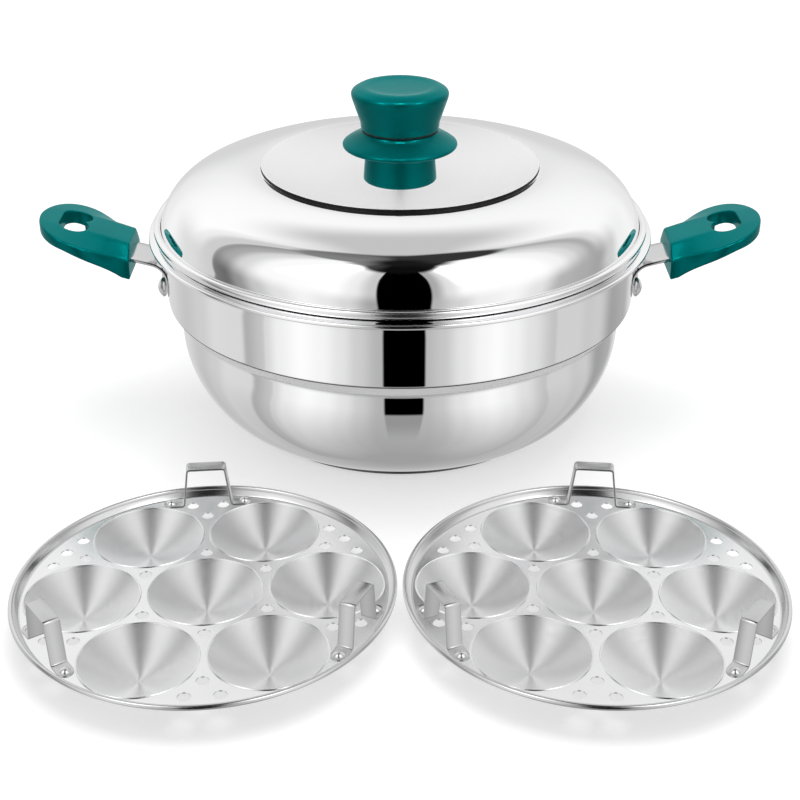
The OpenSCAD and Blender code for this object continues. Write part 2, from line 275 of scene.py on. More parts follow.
def satin_steel(finish, name, centre=(0, 0, 0), rough=1.0, tint=1.0, spun=0.0):
    """Satin steel with rings round an axis; spun steel also stretches its lights across the rings"""
    mat, tree, shader = new_material(name)
    rings = noise(tree, ring_place(tree, 1500.0, 2.0, centre), 1.0)
    satin = finish.satin * rough
    plug(tree, shader.inputs["Roughness"], spread(tree, rings, satin * 0.9, satin * 1.1))
    plug(tree, shader.inputs["Base Color"],
         mix_colours(tree, rings, shade(finish.steel, tint * 0.93), shade(finish.steel, tint)))
    add_bump(tree, shader, rings, 0.12)
    if spun:
        shader.inputs["Anisotropic"].default_value = spun
        tangent = add_node(tree, "Tangent", direction_type="UV_MAP", uv_map="spin")
        tree.links.new(tangent.outputs[0], shader.inputs["Tangent"])
    return mat


def moulded_teal(finish, name):
    """Glossy moulded grip material with a slight cloud in its colour"""
    mat, tree, shader = new_material(name, metallic=0.3)
    grain = noise(tree, object_place(tree), 900.0, 3.0)
    plug(tree, shader.inputs["Roughness"], spread(tree, grain, 0.21, 0.25))
    cloud = spread(tree, noise(tree, object_place(tree), 35.0), 0.0, 1.0)
    plug(tree, shader.inputs["Base Color"],
         mix_colours(tree, cloud, shade(finish.teal, 0.94), shade(finish.teal, 1.06)))
    add_bump(tree, shader, grain, 0.02)
    shader.inputs["IOR"].default_value = 1.13
    shader.inputs["Specular Tint"].default_value = (0.1, 0.9, 0.87, 1.0)
    return mat


def plain_metal(name, colour, rough):
    mat, tree, shader = new_material(name)
    cloud = noise(tree, object_place(tree), 400.0)
    plug(tree, shader.inputs["Roughness"], spread(tree, cloud, rough * 0.85, rough * 1.2))
    plug(tree, shader.inputs["Base Color"], mix_colours(tree, cloud, shade(colour, 0.92), shade(colour)))
    return mat


def plated_steel(name):
    return plain_metal(name, (0.62, 0.63, 0.65), 0.28)


# Shapes, in millimetres until they are finished

def arc(cx, cz, r, start, end, n):
    angles = [radians(start + (end - start) * i / n) for i in range(n + 1)]
    return [(cx + r * cos(a), cz + r * sin(a)) for a in angles]


def line(a, b, n):
    return [(a[0] + (b[0] - a[0]) * i / n, a[1] + (b[1] - a[1]) * i / n) for i in range(n + 1)]


def around(x, z, offsets):
    """Points at given offsets from one place"""
    return [(x + dx, z + dz) for dx, dz in offsets]


def dome_profile(r, h, z0, n=10):
    """A round cap of a given radius and height, from its edge to its middle"""
    ball = (r * r + h * h) / (2 * h)
    half = degrees(asin(min(1.0, r / ball)))
    return arc(0.0, z0 + h - ball, ball, 90 - half, 90, n)


def spin(bm, profile, steps, closed=False, centre=(0.0, 0.0)):
    """Spins a profile of (radius, height) points a full turn about a vertical axis"""
    verts = [bm.verts.new((centre[0] + r, centre[1], z)) for r, z in profile]
    edges = [bm.edges.new(pair) for pair in zip(verts, verts[1:])]
    if closed:
        edges.append(bm.edges.new((verts[-1], verts[0])))
    known = set(bm.verts)
    bmesh.ops.spin(bm, geom=verts + edges, cent=(centre[0], centre[1], 0), axis=(0, 0, 1),
                   angle=2 * pi, steps=steps, use_merge=True)
    made = [v for v in bm.verts if v not in known] + verts
    bmesh.ops.remove_doubles(bm, verts=made, dist=1e-4)


def bevel_edges(bm, width):
    """Rounds the sharp edges of a bent strap"""
    sharp = [e for e in bm.edges if len(e.link_faces) == 2 and e.calc_face_angle() > radians(50)]
    bmesh.ops.bevel(bm, geom=sharp, offset=width, offset_type="OFFSET", segments=2,
                    profile=0.5, affect="EDGES", material=-1, clamp_overlap=True)


def mirrored(bm, side):
    """Turns the right side's piece into the left side's where it is asked for"""
    if side == "left":
        bmesh.ops.scale(bm, vec=(-1, 1, 1), verts=bm.verts)
        bmesh.ops.reverse_faces(bm, faces=bm.faces)


def zone_faces(bm, zone):
    """Gives each face the material that its zone names, from its distance to the axis and its height"""
    for face in bm.faces:
        middle = face.calc_center_median()
        face.material_index = zone(hypot(middle.x, middle.y), middle.z)


def finish_piece(name, bm, materials, body, replaces, sharp=40.0, recalculate=True):
    """Turns a bmesh in millimetres into a finished piece that rides on its body"""
    if recalculate:
        bmesh.ops.recalc_face_normals(bm, faces=bm.faces)
    bmesh.ops.scale(bm, vec=(MM, MM, MM), verts=bm.verts)
    bm.edges.index_update()
    rims = [edge.index for edge in bm.edges if len(edge.link_faces) == 1]
    mesh = bpy.data.meshes.new(name)
    bm.to_mesh(mesh)
    bm.free()
    for mat in materials:
        mesh.materials.append(mat)
    mesh.shade_smooth()
    mesh.set_sharp_from_angle(angle=radians(sharp))
    for edge in rims:
        mesh.edges[edge].use_edge_sharp = True
    piece = bpy.data.objects.new(name, mesh)
    bpy.context.scene.collection.objects.link(piece)
    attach(piece, body)
    if replaces:
        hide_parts(*replaces)
    return piece


def dress_node(node, mat):
    """Gives a solid that the scene keeps its material"""
    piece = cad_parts[node]
    piece.data.materials.clear()
    piece.data.materials.append(mat)


# Pot

def step_ends(size, inset):
    """Where the slanting step between bowl and band starts and ends, as (radius, height)"""
    rise = 0.386 * inset
    return ((size.rim_d / 2 - BOWL_INSET - inset, size.step_z - 2.3 + rise),
            (size.rim_d / 2 - BAND_INSET - inset, size.step_z + 5.5 + rise))


def pot_profile(size, inset):
    """Outline of the pot's wall, from the middle of its floor up to its flared ledge"""
    belly_r, heel_r, flare_r = 66.0, 38.0, 3.0
    belly_x, belly_z = size.rim_d / 2 - BOWL_INSET - belly_r, size.step_z - 10.9
    turn = degrees(asin((belly_z - heel_r - BASE_H) / (belly_r - heel_r)))
    heel_x = belly_x + (belly_r - heel_r) * cos(radians(turn))
    heel_z = belly_z - (belly_r - heel_r) * sin(radians(turn))
    points = [(r, BASE_H + inset) for r in (0.0, 20.0, 45.0, 65.0)]
    points += arc(heel_x, heel_z, heel_r - inset, -90, -turn, 30)
    points += arc(belly_x, belly_z, belly_r - inset, -turn, 0, 28)[1:]
    low, high = step_ends(size, inset)
    points += around(*low, ((0, -3.0), (0, -2.0), (0, -1.5), (0.06, -0.78), (0.25, -0.1), (0.56, 0.52)))
    points += line((low[0] + 1.0, low[1] + 1.1), (high[0] - 0.5, high[1] - 0.56), 4)
    points += around(*high, ((-0.28, -0.26), (-0.12, 0.05), (-0.03, 0.4), (0, 0.75), (0, 1.1), (0, 3.0)))
    flare_z = size.pot_h - POT_WALL - flare_r
    points += line((high[0], high[1] + 6.0), (high[0], flare_z), 4)[:-1]
    points += arc(size.rim_d / 2 - BAND_INSET + flare_r, flare_z, flare_r + inset, 180, 90, 8)
    return points


def build_pot(bm, size):
    """Spins the pot's sheet and its rolled rim, and marks out bead, step and crease; the crease where step
    meets band is painted dark grey as shade
    """
    rim_r, bead_r = size.rim_d / 2, 1.25
    bead_x, bead_z = rim_r - bead_r, size.pot_h - 2.05
    ledge_x = rim_r - LEDGE_INSET
    loop = pot_profile(size, 0.0)
    loop += line((ledge_x, size.pot_h - POT_WALL), (bead_x - 1.2, bead_z + 0.5), 3)[1:]
    loop += arc(bead_x, bead_z, bead_r, 162, 455, 26)[1:]
    loop += line((bead_x - 0.6, bead_z + 1.3), (ledge_x, size.pot_h), 3)[:-1]
    spin(bm, loop + pot_profile(size, POT_WALL)[::-1], 288)
    (low_r, low_z), (high_r, high_z) = step_ends(size, 0.0)

    def zone(out, z):
        along = (z - low_z) / (high_z - low_z)
        if out > rim_r - 2.2:
            return 1
        if 0.06 < along < 1.04 and out > low_r + along * (high_r - low_r) - 0.45:
            # the top of the step, in the crease under the band, takes the dark painted shade
            return 3 if along > 0.94 else 2
        return 0

    zone_faces(bm, zone)


def build_base_disc(bm):
    """Spins the cap that wraps the heat-spreading core and stands on the stove"""
    r = box_mm("base_cap")[1][0]
    cap = [(0.0, 0.0), (30.0, 0.0), (r - 2.0, 0.0)] + arc(r - 1.2, 1.2, 1.2, -90, 0, 6)
    cap += arc(r - 0.5, BASE_H - 0.5, 0.5, 0, 90, 4) + [(r - 4.0, BASE_H), (0.0, BASE_H)]
    spin(bm, cap, 192)


# Lid and knob

def lid_profile(size, inset):
    """Outlines of the lid's dished disc and of its dome, from the middle outwards"""
    disc_r, disc_z = size.disc_d / 2, size.pot_h + 35.3
    seat_r, crown_r, shoulder_r = 21.0, 83.0, 31.0
    dish = disc_z - KNOB_SEAT
    ball_z = (disc_r ** 2 - seat_r ** 2 + dish ** 2) / (2 * dish)
    ball_r = hypot(seat_r, ball_z)
    crown_x, crown_z = disc_r + 5.4, disc_z - 1.9 - crown_r
    shoulder_x = size.rim_d / 2 - 6.4 - shoulder_r
    shoulder_z = crown_z + sqrt((crown_r - shoulder_r) ** 2 - (shoulder_x - crown_x) ** 2)
    turn = degrees(atan2(shoulder_z - crown_z, shoulder_x - crown_x))
    disc = [(0.0, KNOB_SEAT - inset), (10.0, KNOB_SEAT - inset)]
    disc += arc(0.0, KNOB_SEAT + ball_z, ball_r + inset, degrees(atan2(-ball_z, seat_r)),
                degrees(atan2(dish - ball_z, disc_r - 0.8)), 14)
    if inset:
        disc += around(disc_r, disc_z, ((-0.2, -1.1), (0.1, -1.8), (0.6, -2.5)))
        dome = around(disc_r, disc_z, ((1.6, -2.68), (3.4, -2.7)))
    else:
        disc += [(disc_r - 0.3, disc_z - 0.04)] + arc(disc_r + 0.1, disc_z - 0.4, 0.35, 80, 5, 4)
        disc += around(disc_r, disc_z, ((0.47, -1.1), (0.5, -1.84)))
        dome = around(disc_r, disc_z, ((0.62, -1.93), (1.2, -1.96), (2.4, -1.95), (3.8, -1.91)))
    dome += arc(crown_x, crown_z, crown_r - inset, 89.5, turn, 30)
    dome += arc(shoulder_x, shoulder_z, shoulder_r - inset, turn, 9, 44)[1:]
    return disc, dome


def build_lid(bm, size):
    """Spins the lid with its curled edge and locating skirt, and marks out the disc, the step round it, which
    is painted near-black as a shadow line, and the curl
    """
    disc, dome = lid_profile(size, 0.0)
    disc_inside, dome_inside = lid_profile(size, LID_WALL)
    curl_x, curl_z, curl_r = size.rim_d / 2 - 5.2, size.pot_h + 2.55, 2.25
    skirt_r, rim_z = size.rim_d / 2 - 10.0, size.pot_h
    loop = disc + dome + arc(curl_x, curl_z, curl_r, 128, -98, 22)
    loop += [(curl_x - 1.6, rim_z + 0.5), (skirt_r + 0.4, rim_z + 0.5)]
    loop += line((skirt_r, rim_z + 0.1), (skirt_r, rim_z - 5.6), 3)
    loop += arc(skirt_r - 0.4, rim_z - 5.6, 0.4, 0, -180, 4)[1:]
    loop += line((skirt_r - LID_WALL, rim_z - 5.5), (skirt_r - LID_WALL, rim_z + 1.6), 3)
    loop += dome_inside[::-1] + disc_inside[::-1]
    spin(bm, loop, 288)
    disc_r = size.disc_d / 2

    def zone(out, z):
        if out < disc_r + 0.9:
            # the step's wall just outside the disc takes the near-black painted shadow line
            return 1 if out < disc_r + 0.4 else 2
        return 3 if out > curl_x - 1.2 and z > rim_z + 0.8 else 0

    zone_faces(bm, zone)


def build_knob_guard(bm):
    """Spins the knob's foot and its broad finger guard; its top under the head and a band under the guard's
    edge are painted dark as shade
    """
    guard_z = KNOB_SEAT + 0.3855 * (KNOB_TOP - KNOB_SEAT)
    foot_r, guard_r = 20.2, 31.5
    profile = [(0.0, KNOB_SEAT)] + arc(foot_r - 0.8, KNOB_SEAT + 0.8, 0.8, -90, 0, 5)
    profile += line((foot_r, KNOB_SEAT + 1.2), (foot_r - 1.1, guard_z - 4.8), 6)[1:]
    profile += arc(foot_r + 1.1, guard_z - 4.4, 2.2, 180, 98, 8)[1:]
    profile += line((foot_r + 2.0, guard_z - 2.2), (guard_r - 2.2, guard_z - 1.5), 4)
    profile += arc(guard_r - 1.3, guard_z - 0.2, 1.3, -75, 48, 10)
    profile += around(guard_r, guard_z, ((-1.2, 1.35), (-2.6, 2.3), (-4.6, 3.5), (-7.2, 4.9)))
    profile += around(foot_r, KNOB_NECK, ((1.9, -2.3), (1.2, -1.6), (0.7, -0.9), (0.5, -0.3), (-0.4, 0)))
    spin(bm, profile + [(0.0, KNOB_NECK)], 160)
    # faces under the head and under the guard's overhang take the dark painted shade
    zone_faces(bm, lambda out, z: int(z > KNOB_NECK - 0.7 or guard_z - 4.0 < z < guard_z - 2.0))


def build_knob_cap(bm, size):
    """Spins the knob's waisted head with its rolled edge and dished top"""
    head_r = size.knob_d / 2
    waist = head_r * 0.805
    profile = [(0.0, KNOB_NECK)]
    profile += around(waist, KNOB_NECK, (
        (-1.8, 0), (-1.7, 0.55), (-0.5, 0.65), (-0.12, 0.85), (0, 1.25),
        (0.02, 2.0), (0.2, 3.6), (0.6, 5.2), (1.2, 7.0)))
    profile += line((waist + 1.95, KNOB_NECK + 9.0), (head_r - 0.35, KNOB_TOP - 6.2), 8)
    profile += arc(head_r - 2.75, KNOB_TOP - 4.3, 2.7, -16, 62, 12)
    profile += around(head_r, KNOB_TOP, (
        (-2.6, -1.22), (-3.9, -0.55), (-5.2, -0.16), (-6.4, -0.02), (-7.6, -0.08), (-8.8, -0.3),
        (-10.2, -0.6), (-12.0, -0.85)))
    profile += around(0.0, KNOB_TOP, ((10.0, -1.05), (5.5, -1.2), (1.0, -1.25), (0.0, -1.25)))
    spin(bm, profile, 160)
    # the bottom of the head, at the seam, is painted dark as shade
    zone_faces(bm, lambda out, z: int(z < KNOB_NECK + 0.8))


# Grips: t runs from 0 at the grip's root to 1 at its tip

def grip_half(t):
    """Half the grip's width"""
    if t < GRIP_WIDEST_AT:
        swell = (1 - cos(pi * t / GRIP_WIDEST_AT)) / 2
        return GRIP_ROOT_HALF + (GRIP_WIDEST_HALF - GRIP_ROOT_HALF) * swell
    return GRIP_WIDEST_HALF * sqrt(max(0.0, 1 - ((t - GRIP_WIDEST_AT) / (1 - GRIP_WIDEST_AT)) ** 2))


def grip_top(t):
    """Height of the grip's crown"""
    rise, sag = 18.6, 5.4
    return GRIP_Z + rise * t - sag * t * t


def grip_edge_drop(t):
    """How far the crown falls towards the grip's sides"""
    tip_drop, root_drop = 0.4, 8.1
    return tip_drop + root_drop * max(0.0, 1 - t) ** 1.4


def grip_thickness(t):
    """Thickness of the grip, which is deep at its root and thin along its outer part"""
    tip_thick, root_extra = 8.2, 11.4
    return tip_thick + root_extra * (1 - max(0.0, min(1.0, (t - 0.1) / 0.6))) ** 1.5


def polar_radius(outline, centre, angles):
    """Distance from the centre to a closed outline at each angle"""
    found = []
    n = len(outline)
    for a in angles:
        ux, uy = cos(a), sin(a)
        best = 0.0
        for i in range(n):
            px, py = outline[i][0] - centre[0], outline[i][1] - centre[1]
            qx, qy = outline[(i + 1) % n][0] - centre[0], outline[(i + 1) % n][1] - centre[1]
            ex, ey = qx - px, qy - py
            det = ux * ey - uy * ex
            if abs(det) < 1e-12:
                continue
            s = (px * ey - py * ex) / det
            w = (px * uy - py * ux) / det
            if s > 0 and -1e-9 <= w <= 1 + 1e-9:
                best = max(best, s)
        found.append(best)
    return found


def grip_outline():
    """The grip seen from above, with points closer together towards its round tip"""
    along = [i / 60 for i in range(49)]
    tip = [0.8 + 0.2 * (1 - (1 - i / 40) ** 2) for i in range(1, 41)]
    side = [(GRIP_X + GRIP_L * t, grip_half(t)) for t in along + tip]
    return side + [(x, -y) for x, y in reversed(side)]


def heart_outline():
    """Two round lobes side by side, closed by a straight edge towards the tip"""
    lobe_y, lobe_r = 6.5, 8.0
    right = arc(HOLE_X, lobe_y, lobe_r, 0, 234.3, 40)
    return right + [(x, -y) for x, y in reversed(right)]


def ring_of(bm, points):
    verts = [bm.verts.new(p) for p in points]
    edges = [bm.edges.new((verts[i], verts[(i + 1) % len(verts)])) for i in range(len(verts))]
    return verts, edges


def next_ring(bm, verts, edges, points):
    """Extrudes a closed ring and moves the copy to its next place"""
    made = bmesh.ops.extrude_edge_only(bm, edges=edges)["geom"]
    fresh = {v for v in made if isinstance(v, bmesh.types.BMVert)}
    new_verts = [next(e.other_vert(v) for e in v.link_edges if e.other_vert(v) in fresh) for v in verts]
    for v, p in zip(new_verts, points):
        v.co = p
    pairs = zip(new_verts, new_verts[1:] + new_verts[:1])
    new_edges = [next(e for e in a.link_edges if e.other_vert(a) is b) for a, b in pairs]
    return new_verts, new_edges


def build_grip(bm):
    """A moulded grip on the +X side, with a crowned top, a deep root and a heart-shaped hole"""
    centre = (HOLE_X + 1.5, 0.0)
    corner = atan2(grip_half(0.0), GRIP_X - centre[0])
    angles = sorted([2 * pi * i / 200 for i in range(200)]
                    + [a % (2 * pi) for d in (-0.012, 0.0, 0.012) for a in (corner + d, -corner + d)])
    rays = len(angles)
    outer = polar_radius(grip_outline(), centre, angles)
    inner = polar_radius(heart_outline(), centre, angles)

    def at(i, s):
        """A place on ray i, from the hole at 0 to the outline at 1"""
        a = angles[i]
        r = inner[i] + (outer[i] - inner[i]) * s
        return centre[0] + r * cos(a), centre[1] + r * sin(a)

    def surfaces(x, y):
        """Heights of the crowned top and of the underside"""
        t = max(0.0, min(1.0, (x - GRIP_X) / GRIP_L))
        half = max(grip_half(t), 3.0)
        flat = min(13 - 4 * t, 0.66 * half)
        past = abs(y) - flat
        soft = 0.5 * (past + sqrt(past * past + 1.2)) / (half - flat)
        top = grip_top(t)
        return top - grip_edge_drop(t) * min(1.0, soft), top - grip_thickness(t)

    fillet, round_under, hole_fillet = 1.2, 2.2, 0.7
    rings = []

    def ring(place, lift):
        """Adds a closed ring of points round the hole"""
        row = []
        for i in range(rays):
            x, y = place(i)
            high, low = surfaces(x, y)
            row.append((x, y, lift(high, low)))
        rings.append(row)

    def inset(i, d):
        """A place on ray i at a distance inside the outline"""
        return at(i, 1 - d / (outer[i] - inner[i]))

    def outset(i, d):
        """A place on ray i at a distance outside the hole"""
        return at(i, d / (outer[i] - inner[i]))

    for k in range(5):
        a = radians(90 * k / 4)
        d, drop = hole_fillet * (1 - cos(a)), hole_fillet * (1 - sin(a))
        ring(lambda i, d=d: outset(i, d), lambda high, low, drop=drop: high - drop)
    for s in [0.1 + 0.82 * i / 24 for i in range(25)]:
        ring(lambda i, s=s: at(i, s), lambda high, low: high)
    for k in range(6):
        a = radians(90 * k / 5)
        d, drop = fillet * (1 - sin(a)), fillet * (1 - cos(a))
        ring(lambda i, d=d: inset(i, d), lambda high, low, drop=drop: high - drop)
    ring(lambda i: inset(i, 0), lambda high, low: 0.5 * (high - fillet + low + round_under))
    for k in range(6):
        a = radians(90 * k / 5)
        d, rise = round_under * (1 - cos(a)), round_under * (1 - sin(a))
        ring(lambda i, d=d: inset(i, d), lambda high, low, rise=rise: low + rise)
    for s in (0.85, 0.7, 0.55, 0.4, 0.25, 0.14):
        ring(lambda i, s=s: at(i, s), lambda high, low: low)
    for k in range(5):
        a = radians(90 * k / 4)
        d, rise = hole_fillet * (1 - sin(a)), hole_fillet * (1 - cos(a))
        ring(lambda i, d=d: outset(i, d), lambda high, low, rise=rise: low + rise)
    verts, edges = ring_of(bm, rings[0])
    first = edges
    for row in rings[1:]:
        verts, edges = next_ring(bm, verts, edges, row)
    bmesh.ops.bridge_loops(bm, edges=first + edges)


# Straps between pot and grips

def strap_path(band_r):
    """Middle line of a strap, up the band and out into the grip, with half its width at each point"""
    bend_r, foot_z, corner_r, inside_grip = 9.0, 69.8, 6.0, 12.0
    on_band, mid_r = band_r + STRAP_THICK / 2, bend_r + STRAP_THICK / 2
    bend_x = band_r + STRAP_THICK + bend_r
    bend_z = STRAP_ENTRY_Z + (bend_x - GRIP_X) * tan(STRAP_TILT) - mid_r / cos(STRAP_TILT)
    corner = [radians(90 * k / 8) for k in range(9)]
    path = [(on_band, foot_z + corner_r * (1 - cos(a))) for a in corner]
    halves = [STRAP_HALF - corner_r * (1 - sin(a)) for a in corner]
    path += [(on_band, 79.0)] + arc(bend_x, bend_z, mid_r, 180, 104, 14)
    path += [(GRIP_X + inside_grip, STRAP_ENTRY_Z + inside_grip * tan(STRAP_TILT))]
    halves += [STRAP_HALF] * (len(path) - len(halves))
    return path, halves


def build_strap(bm, band_r):
    """Bends a strap whose foot hugs the round band and straightens above it"""
    columns, free_z, hug_length = 7, 86.0, 6.0
    rows = []
    for (out, z), half in zip(*strap_path(band_r)):
        hug = max(0.0, min(1.0, (free_z - z) / hug_length))
        across = [half * (2 * c / (columns - 1) - 1) for c in range(columns)]
        rows.append([bm.verts.new((out - hug * (band_r - sqrt(band_r ** 2 - y ** 2)), y, z)) for y in across])
    faces = [bm.faces.new((a[c], b[c], b[c + 1], a[c + 1]))
             for a, b in zip(rows, rows[1:]) for c in range(columns - 1)]
    bmesh.ops.recalc_face_normals(bm, faces=faces)
    if faces[0].normal.x < 0:
        bmesh.ops.reverse_faces(bm, faces=faces)
    bmesh.ops.solidify(bm, geom=faces, thickness=STRAP_THICK)
    bevel_edges(bm, 0.35)


def build_strap_rivets(bm, band_r):
    """Two rivets through band and strap, with round heads outside and flat ones inside the pot"""
    strap_r = band_r + STRAP_THICK
    outside = [(0.0, strap_r - 0.2), (5.4, strap_r - 0.2), (5.9, strap_r + 0.5)]
    outside += dome_profile(6.0, 3.4, strap_r + 0.9)
    inside = [(r, band_r - back) for r, back in
              ((0.0, 3.2), (2.4, 3.2), (3.2, 2.9), (3.5, 2.4), (3.6, 1.2), (0.0, 1.2))]
    for y in (-STRAP_RIVET_Y, STRAP_RIVET_Y):
        for profile in (outside, inside):
            known = set(bm.verts)
            spin(bm, profile, 32)
            fresh = [v for v in bm.verts if v not in known]
            bmesh.ops.rotate(bm, verts=fresh, cent=(0, 0, 0), matrix=Matrix.Rotation(pi / 2, 3, "Y"))
            bmesh.ops.translate(bm, verts=fresh, vec=(0, y, STRAP_RIVET_Z))


# Idli plates

def plate_place(side):
    """Where a plate lies on the table; the two are turned as mirror images"""
    s = 1 if side == "right" else -1
    return (Matrix.Translation((s * (PLATE_R + PLATE_GAP / 2), PLATE_Y, 0))
            @ Matrix.Rotation(radians(-PLATE_TURN * s), 4, "Z"))


def polar(r, angle):
    return r * cos(radians(angle)), r * sin(radians(angle))


def cup_centres():
    return [(0.0, 0.0)] + [polar(CUP_PITCH, 60 * i) for i in range(6)]


def steam_holes():
    """Holes between the cups, between the outer cups and the rim, and in clusters along the rim"""
    gap_r, pair_r, triple_r = 66.5, 77.0, 77.6
    holes = [(CUP_PITCH / sqrt(3), 30 + 60 * i) for i in range(6)]
    holes += [(gap_r, 30 + 60 * i) for i in range(6)]
    holes += [(pair_r, a + d) for a in (90, 210, 330, 270) for d in (-5.7, 5.7)]
    holes += [(triple_r, a + d) for a in (30, 150) for d in (-9, 0, 9)]
    return [polar(r, angle) for r, angle in holes]


def lay_spin_map(face, centre, cup_r, layer):
    """Maps a cup's face by distance and angle from the cup's middle, so that its lights can fan out"""
    middle = face.calc_center_median()
    base = atan2(middle.y - centre[1], middle.x - centre[0])
    for loop in face.loops:
        px, py = loop.vert.co.x - centre[0], loop.vert.co.y - centre[1]
        a = atan2(py, px) if hypot(px, py) > 1e-6 else base
        while a - base > pi:
            a -= 2 * pi
        while a - base < -pi:
            a += 2 * pi
        loop[layer].uv = (hypot(px, py) / cup_r, a / (2 * pi))


def build_sheet(bm, size):
    """The upper face of an idli plate: a flat field with cups, steam holes and an upturned rim"""
    segments, rim_steps, hole_r = 96, 240, 3.0
    cup_r, depth = size.cup_d / 2, size.cup_depth
    lip, field_r = cup_r + 0.6, PLATE_R - 4.9
    spin_map = bm.loops.layers.uv.new("spin")
    circles = [(0.0, 0.0, field_r, rim_steps)] + [(x, y, lip, segments) for x, y in cup_centres()]
    circles += [(x, y, hole_r, 28) for x, y in steam_holes()]
    for x, y, radius, steps in circles:
        bmesh.ops.create_circle(bm, cap_ends=False, radius=radius, segments=steps,
                                matrix=Matrix.Translation((x, y, FIELD_Z)))
    bmesh.ops.triangle_fill(bm, use_beauty=True, use_dissolve=False, edges=bm.edges[:], normal=(0, 0, 1))
    ball = (cup_r ** 2 + depth ** 2) / (2 * depth)
    slope = degrees(asin(cup_r / ball))
    cup = around(lip, FIELD_Z, ((0, 0), (-0.12, 0.28), (-0.38, 0.48), (-0.66, 0.42), (-0.86, 0.14)))
    cup += [(cup_r - 0.55, FIELD_Z - 0.42)]
    cup += arc(0, FIELD_Z - depth + ball, ball, -90 + slope - 2.2, -90, 22)
    for centre in cup_centres():
        known = set(bm.faces)
        spin(bm, cup, segments, centre=centre)
        for face in bm.faces:
            if face not in known:
                middle = face.calc_center_median()
                out = hypot(middle.x - centre[0], middle.y - centre[1])
                face.material_index = 1 if out < cup_r - 0.3 else 0
                lay_spin_map(face, centre, cup_r, spin_map)
    rim = [(field_r, FIELD_Z)] + arc(field_r, FIELD_Z + 1.6, 1.6, -90, -38, 6)[1:]
    rim += around(PLATE_R, FIELD_Z, ((-2.6, 2.0), (-1.95, 3.0), (-1.75, 3.6)))
    known = set(bm.faces)
    spin(bm, rim, rim_steps)
    for face in bm.faces:
        if face not in known:
            face.material_index = 2
    bmesh.ops.remove_doubles(bm, verts=bm.verts, dist=0.01)
    bmesh.ops.recalc_face_normals(bm, faces=bm.faces)
    if sum(f.normal.z * f.calc_area() for f in bm.faces) < 0:
        bmesh.ops.reverse_faces(bm, faces=bm.faces)


def bracket_path():
    """Middle line of a bracket, from one tab's end over the arch to the other's, with half widths"""
    height, top_w, foot_w, bend_r, tuck_r = 22.0, 21.0, 24.6, 2.4, 1.2
    lean = degrees(atan2((foot_w - top_w) / 2, height))
    low, top = FIELD_Z + BRACKET_THICK / 2, FIELD_Z + height - BRACKET_THICK / 2
    mid_r, toe = bend_r - BRACKET_THICK / 2, (foot_w - BRACKET_THICK) / 2 + 0.45
    right = arc(top_w / 2 - bend_r, top - mid_r, mid_r, 90, lean, 8)
    right += arc(toe + tuck_r, low + tuck_r, tuck_r, 180 + lean, 270, 6)
    right += [(16.0, low), (TAB_X, low)]
    right += [(TAB_X + TAB_R * sin(radians(15 * k)), low) for k in range(1, 7)]
    path = [(-p, q) for p, q in reversed(right)] + [(0.0, top)] + right
    halves = []
    for p, q in path:
        past = abs(p) - TAB_X
        rounded = past > 0 and q <= low + 0.01
        halves.append(max(0.35, sqrt(max(0.0, TAB_R ** 2 - past ** 2))) if rounded else TAB_R)
    return path, halves


def build_bracket(bm):
    """Bends a strap bracket and stands it on the plate's field"""
    rows = [(bm.verts.new((-half, p, q)), bm.verts.new((half, p, q)))
            for (p, q), half in zip(*bracket_path())]
    faces = [bm.faces.new((a[0], a[1], b[1], b[0])) for a, b in zip(rows, rows[1:])]
    bmesh.ops.recalc_face_normals(bm, faces=faces)
    bmesh.ops.solidify(bm, geom=faces, thickness=BRACKET_THICK)
    lift = FIELD_Z - min(v.co.z for v in bm.verts)
    bmesh.ops.translate(bm, verts=bm.verts, vec=(0, 0, lift))
    bevel_edges(bm, 0.18)


def build_bracket_rivets(bm):
    """Two small rivets through each bracket's tabs"""
    head = [(0.0, FIELD_Z + 0.9), (2.4, FIELD_Z + 0.9)] + dome_profile(2.6, 1.5, FIELD_Z + 1.0, 7)
    tail = [(r, FIELD_Z - down) for r, down in ((0.0, 1.6), (1.9, 1.6), (2.3, 1.3), (2.5, 0.8), (0.0, 0.8))]
    for _, angle in BRACKETS:
        a = radians(angle)
        for d in (-TAB_X, TAB_X):
            centre = (BRACKET_R * cos(a) - d * sin(a), BRACKET_R * sin(a) + d * cos(a))
            spin(bm, head, 24, centre=centre)
            spin(bm, tail, 24, centre=centre)


# Studio: azimuth 0 is towards the viewer and 180 behind the object, both angles in degrees

HIGH_WALLS = (
    (-180, .95), (-114, .99), (-106, .93), (-98, .80), (-92.5, .80), (-91, .58), (-83, .66), (-74, .84),
    (-62, .98), (-28, 1.0), (-20, .93), (-12, .78), (15, .66), (21, .88), (28, 1.0), (64, 1.0), (76, .95),
    (84, .86), (90, .78), (97, .67), (103, .86), (112, .98), (180, .94))
LOW_WALLS = (
    (-180, .80), (-164, .82), (-150, .91), (-136, .95), (-112, .86), (-93, .80), (-91, .46), (-84, .42),
    (-76, .58), (-66, .77), (-55, .88), (-42, .95), (-32, .91), (-23, .84), (-12, .64), (15, .70), (25, .82),
    (36, .93), (50, .96), (63, .89), (76, .70), (90, .67), (101, .64), (112, .80), (122, .93), (136, .95),
    (152, .90), (166, .82), (180, .80))
TABLE = (
    (-180, .92), (-152, .82), (-128, .76), (-112, .80), (-101, .85), (-83, .84), (-81.5, .81), (-79.5, .68),
    (-69.5, .76), (-67.5, .84), (-60, .935), (-48, .99), (-38, .96), (-28, .89), (-20, .80), (-10, .70),
    (13, .72), (20, .77), (30, .89), (40, .96), (47, .985), (56, .95), (66, .88), (80, .76), (82, .81),
    (95, .81), (103, .78), (112, .79), (126, .62), (142, .66), (160, .86), (180, .92))
